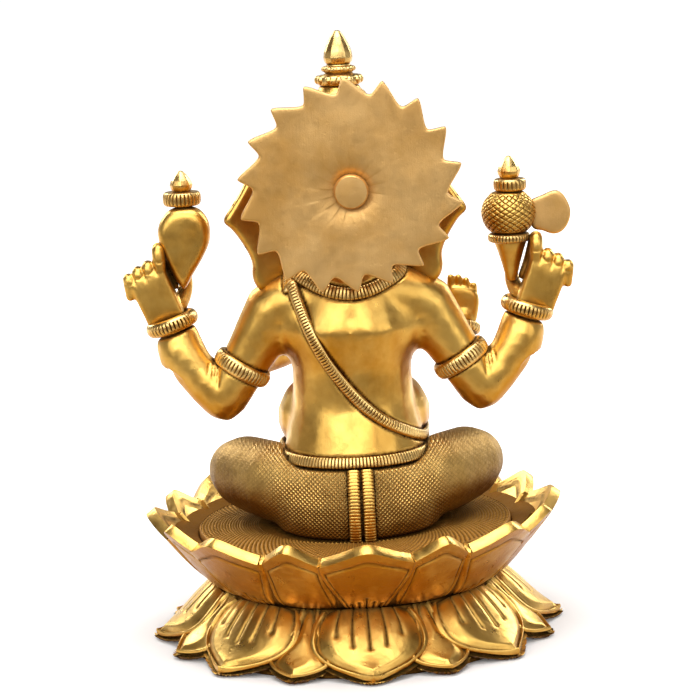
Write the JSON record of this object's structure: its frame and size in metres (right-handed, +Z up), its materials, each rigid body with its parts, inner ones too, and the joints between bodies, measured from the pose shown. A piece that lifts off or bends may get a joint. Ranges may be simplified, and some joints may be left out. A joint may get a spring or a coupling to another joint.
{
  "type": "hindu deity statue",
  "caption": "Seated four-armed elephant-headed deity in cast brass on a double lotus base, with a saw-tooth halo, a shell and an axe in its raised rear hands.",
  "frame": {"origin": "centre of the bounding box, on the surface the lotus base stands on", "axes": "+Z up, the deity faces -Y, its left hand side is +X"},
  "size_m": [0.1884, 0.175, 0.2539],
  "materials": {
    "satin_brass": "cast and hand-filed to a satin sheen",
    "polished_brass": "polished on the raised edges, ribs darkened between",
    "chased_brass": "chased lines and punched texture with brown patina in the recesses",
    "dark_brass": "unpolished, tarnished"
  },
  "bodies": {
    "root": {"torso": "satin_brass", "dhoti_hips": "chased_brass", "dhoti_thigh_left": "chased_brass", "dhoti_thigh_right": "chased_brass", "dhoti_shin_left": "chased_brass", "dhoti_shin_right": "chased_brass", "foot_left": "satin_brass", "dhoti_pleat_left": "chased_brass", "dhoti_pleat_right": "chased_brass", "waist_belt": "polished_brass", "neck_collar": "polished_brass", "sash": "polished_brass", "rear_upper_arm_left": "satin_brass", "rear_forearm_left": "satin_brass", "armlet_left": "polished_brass", "bracelet_left": "polished_brass", "rear_hand_left": "satin_brass", "rear_upper_arm_right": "satin_brass", "rear_forearm_right": "satin_brass", "armlet_right": "polished_brass", "bracelet_right": "polished_brass", "rear_hand_right": "satin_brass", "conch": "satin_brass", "conch_ring": "polished_brass", "conch_finial": "polished_brass", "axe_grip": "satin_brass", "axe_lower_ring": "polished_brass", "axe_head": "chased_brass", "axe_upper_ring": "polished_brass", "axe_finial": "polished_brass", "axe_blade": "polished_brass", "front_upper_arm_left": "satin_brass", "front_forearm_left": "satin_brass", "front_bracelet_left": "polished_brass", "front_hand_left": "satin_brass", "front_upper_arm_right": "satin_brass", "front_forearm_right": "satin_brass", "front_bracelet_right": "polished_brass", "front_hand_right": "satin_brass", "sweet_bowl": "satin_brass", "head": "satin_brass", "trunk": "satin_brass", "ear_left": "satin_brass", "tusk_left": "polished_brass", "ear_right": "satin_brass", "tusk_right": "polished_brass", "crown": "chased_brass", "crown_band": "polished_brass", "crown_finial": "polished_brass", "halo_plate": "satin_brass", "halo_pin": "polished_brass", "lotus_lower_tier": "chased_brass", "lotus_upper_tier": "chased_brass", "lotus_seat": "chased_brass", "seat_bolt": "dark_brass"}
  },
  "joints": []
}
